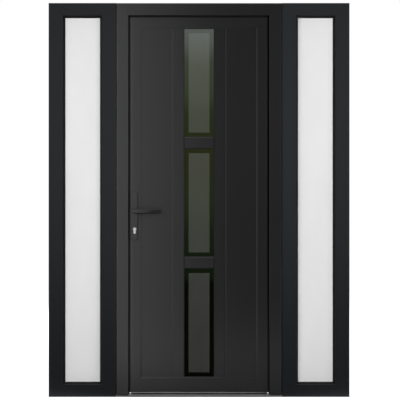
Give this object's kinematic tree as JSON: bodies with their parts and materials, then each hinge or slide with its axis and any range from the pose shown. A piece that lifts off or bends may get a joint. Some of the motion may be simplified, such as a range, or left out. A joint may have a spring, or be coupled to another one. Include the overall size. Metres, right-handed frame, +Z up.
{
  "type": "door with sidelights",
  "caption": "Inward-opening metal entrance door with a centre column of glass and a lever handle, between two fixed sidelights of satin glass.",
  "frame": {"origin": "middle of the base, halfway through the frame's depth", "axes": "+X to the right seen from outside, +Y from the outer face to the inner face, +Z up"},
  "size_m": [1.552, 0.152, 2.032],
  "materials": {
    "door_coating": "satin anthracite powder coat",
    "sidelight_coating": "satin black-grey powder coat",
    "satin_glass": "acid-etched, milky white",
    "leaf_glass": "clear edges and a satin middle, dark behind",
    "seal_rubber": "matt black",
    "packer_plastic": "matt black",
    "sill_aluminium": "brushed, clear anodised",
    "nickel": "satin nickel",
    "plate_steel": "brushed stainless",
    "black_hardware": "satin black coat"
  },
  "bodies": {
    "frame": {"frame_jamb_left": "door_coating", "frame_jamb_right": "door_coating", "frame_head": "door_coating", "threshold": "sill_aluminium", "frame_seal": "seal_rubber", "strike_plate": "plate_steel", "hinge_frame_parts": "black_hardware", "left_sidelight_outer_stile": "sidelight_coating", "left_sidelight_inner_stile": "sidelight_coating", "left_sidelight_head_rail": "sidelight_coating", "left_sidelight_bottom_rail": "sidelight_coating", "left_sidelight_glass": "satin_glass", "left_sidelight_seals": "seal_rubber", "left_sidelight_beads": "sidelight_coating", "right_sidelight_outer_stile": "sidelight_coating", "right_sidelight_inner_stile": "sidelight_coating", "right_sidelight_head_rail": "sidelight_coating", "right_sidelight_bottom_rail": "sidelight_coating", "right_sidelight_glass": "satin_glass", "right_sidelight_seals": "seal_rubber", "right_sidelight_beads": "sidelight_coating"},
    "leaf": {"leaf_lock_stile": "door_coating", "leaf_hinge_stile": "door_coating", "leaf_top_rail": "door_coating", "leaf_bottom_rail": "door_coating", "board_left": "door_coating", "board_right": "door_coating", "glass_bar_lower": "door_coating", "glass_bar_upper": "door_coating", "glass_packers": "packer_plastic", "pane_bottom": "leaf_glass", "pane_middle": "leaf_glass", "pane_top": "leaf_glass", "pane_spacers": "seal_rubber", "leaf_beads": "door_coating", "bottom_seal": "seal_rubber", "lock_edge_plate": "plate_steel", "lock_bolts": "nickel", "lock_cylinder": "nickel", "handle_plate_outer": "black_hardware", "handle_plate_inner": "black_hardware", "hinge_leaf_parts": "black_hardware"},
    "handle": {"lever_outer": "black_hardware", "lever_inner": "black_hardware", "handle_spindle": "nickel"}
  },
  "joints": [
    {"name": "leaf_swing", "type": "hinge", "parent": "frame", "child": "leaf", "pos_m": [0.384, 0.05, 1.01], "axis": [0, 0, -1], "range_deg": [0, 95]},
    {"name": "lever_press", "type": "hinge", "parent": "leaf", "child": "handle", "pos_m": [-0.332, 0.001, 0.958], "axis": [0, 1, 0], "range_deg": [0, 40], "stiffness_Nm_per_rad": 1.5, "springref_deg": -34.38}
  ]
}
